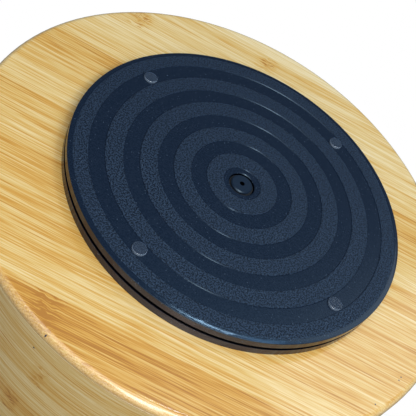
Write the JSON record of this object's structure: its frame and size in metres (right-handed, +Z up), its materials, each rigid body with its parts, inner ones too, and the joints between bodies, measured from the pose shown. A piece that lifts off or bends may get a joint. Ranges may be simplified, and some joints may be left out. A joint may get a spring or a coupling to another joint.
{
  "type": "lazy susan turntable",
  "caption": "Round open bamboo bin on a low black plastic ball-bearing turntable with concentric bands and clear stick-on feet underneath.",
  "frame": {"origin": "on the table, under the centre of the round bin; the turntable's pivot stands 3.4 mm from it", "axes": "+Z up along the bin's axis and parallel to the pivot; +X and +Y level, with the bin's centre to the +X, -Y side of the pivot"},
  "size_m": [0.228, 0.228, 0.0999],
  "materials": {
    "plate_plastic": "black moulded plastic, pebbled on the raised bands and smooth in the sunken ones",
    "pin_plastic": "smooth black plastic",
    "washer_nylon": "black nylon",
    "cage_plastic": "natural white plastic",
    "ball_steel": "polished bearing steel",
    "screw_steel": "zinc plated",
    "foot_rubber": "clear soft rubber, slightly cloudy",
    "bamboo_board": "satin lacquered bamboo, strips side by side",
    "bamboo_wall": "satin lacquered bamboo, grain running round the wall"
  },
  "bodies": {
    "base": {"base_plate": "plate_plastic", "foot_1": "foot_rubber", "foot_2": "foot_rubber", "foot_3": "foot_rubber", "foot_4": "foot_rubber"},
    "carrier": {"top_plate": "plate_plastic", "pivot_pin": "pin_plastic", "pivot_washer": "washer_nylon", "mounting_screws": "screw_steel", "base_board": "bamboo_board", "bin_wall": "bamboo_wall"},
    "cage": {"ball_cage": "cage_plastic"},
    "rolling_ball_01": {"ball_01": "ball_steel"},
    "rolling_ball_02": {"ball_02": "ball_steel"},
    "rolling_ball_03": {"ball_03": "ball_steel"},
    "rolling_ball_04": {"ball_04": "ball_steel"},
    "rolling_ball_05": {"ball_05": "ball_steel"},
    "rolling_ball_06": {"ball_06": "ball_steel"},
    "rolling_ball_07": {"ball_07": "ball_steel"},
    "rolling_ball_08": {"ball_08": "ball_steel"},
    "rolling_ball_09": {"ball_09": "ball_steel"},
    "rolling_ball_10": {"ball_10": "ball_steel"},
    "rolling_ball_11": {"ball_11": "ball_steel"},
    "rolling_ball_12": {"ball_12": "ball_steel"}
  },
  "joints": [
    {"name": "turntable_spin", "type": "hinge", "parent": "base", "child": "carrier", "pos_m": [-0.0033, 0.0007, 0.005], "axis": [0, 0, 1], "continuous": true},
    {"name": "cage_orbit", "type": "hinge", "parent": "base", "child": "cage", "pos_m": [-0.0033, 0.0007, 0.00496], "axis": [0, 0, 1], "continuous": true},
    {"name": "ball_01_roll", "type": "hinge", "parent": "cage", "child": "rolling_ball_01", "pos_m": [0.0547, 0.0007, 0.00496], "axis": [1, 0, 0], "continuous": true},
    {"name": "ball_02_roll", "type": "hinge", "parent": "cage", "child": "rolling_ball_02", "pos_m": [0.04693, 0.0297, 0.00496], "axis": [0.866, 0.5, 0], "continuous": true},
    {"name": "ball_03_roll", "type": "hinge", "parent": "cage", "child": "rolling_ball_03", "pos_m": [0.0257, 0.05093, 0.00496], "axis": [0.5, 0.866, 0], "continuous": true},
    {"name": "ball_04_roll", "type": "hinge", "parent": "cage", "child": "rolling_ball_04", "pos_m": [-0.0033, 0.0587, 0.00496], "axis": [0, 1, 0], "continuous": true},
    {"name": "ball_05_roll", "type": "hinge", "parent": "cage", "child": "rolling_ball_05", "pos_m": [-0.0323, 0.05093, 0.00496], "axis": [-0.5, 0.866, 0], "continuous": true},
    {"name": "ball_06_roll", "type": "hinge", "parent": "cage", "child": "rolling_ball_06", "pos_m": [-0.05353, 0.0297, 0.00496], "axis": [-0.866, 0.5, 0], "continuous": true},
    {"name": "ball_07_roll", "type": "hinge", "parent": "cage", "child": "rolling_ball_07", "pos_m": [-0.0613, 0.0007, 0.00496], "axis": [-1, 0, 0], "continuous": true},
    {"name": "ball_08_roll", "type": "hinge", "parent": "cage", "child": "rolling_ball_08", "pos_m": [-0.05353, -0.0283, 0.00496], "axis": [-0.866, -0.5, 0], "continuous": true},
    {"name": "ball_09_roll", "type": "hinge", "parent": "cage", "child": "rolling_ball_09", "pos_m": [-0.0323, -0.04953, 0.00496], "axis": [-0.5, -0.866, 0], "continuous": true},
    {"name": "ball_10_roll", "type": "hinge", "parent": "cage", "child": "rolling_ball_10", "pos_m": [-0.0033, -0.0573, 0.00496], "axis": [0, -1, 0], "continuous": true},
    {"name": "ball_11_roll", "type": "hinge", "parent": "cage", "child": "rolling_ball_11", "pos_m": [0.0257, -0.04953, 0.00496], "axis": [0.5, -0.866, 0], "continuous": true},
    {"name": "ball_12_roll", "type": "hinge", "parent": "cage", "child": "rolling_ball_12", "pos_m": [0.04693, -0.0283, 0.00496], "axis": [0.866, -0.5, 0], "continuous": true}
  ],
  "couplings": [
    {"joint": "cage_orbit", "follows": "turntable_spin", "ratio": 0.5},
    {"joint": "ball_01_roll", "follows": "turntable_spin", "ratio": -12.178},
    {"joint": "ball_02_roll", "follows": "turntable_spin", "ratio": -12.178},
    {"joint": "ball_03_roll", "follows": "turntable_spin", "ratio": -12.178},
    {"joint": "ball_04_roll", "follows": "turntable_spin", "ratio": -12.178},
    {"joint": "ball_05_roll", "follows": "turntable_spin", "ratio": -12.178},
    {"joint": "ball_06_roll", "follows": "turntable_spin", "ratio": -12.178},
    {"joint": "ball_07_roll", "follows": "turntable_spin", "ratio": -12.178},
    {"joint": "ball_08_roll", "follows": "turntable_spin", "ratio": -12.178},
    {"joint": "ball_09_roll", "follows": "turntable_spin", "ratio": -12.178},
    {"joint": "ball_10_roll", "follows": "turntable_spin", "ratio": -12.178},
    {"joint": "ball_11_roll", "follows": "turntable_spin", "ratio": -12.178},
    {"joint": "ball_12_roll", "follows": "turntable_spin", "ratio": -12.178}
  ]
}
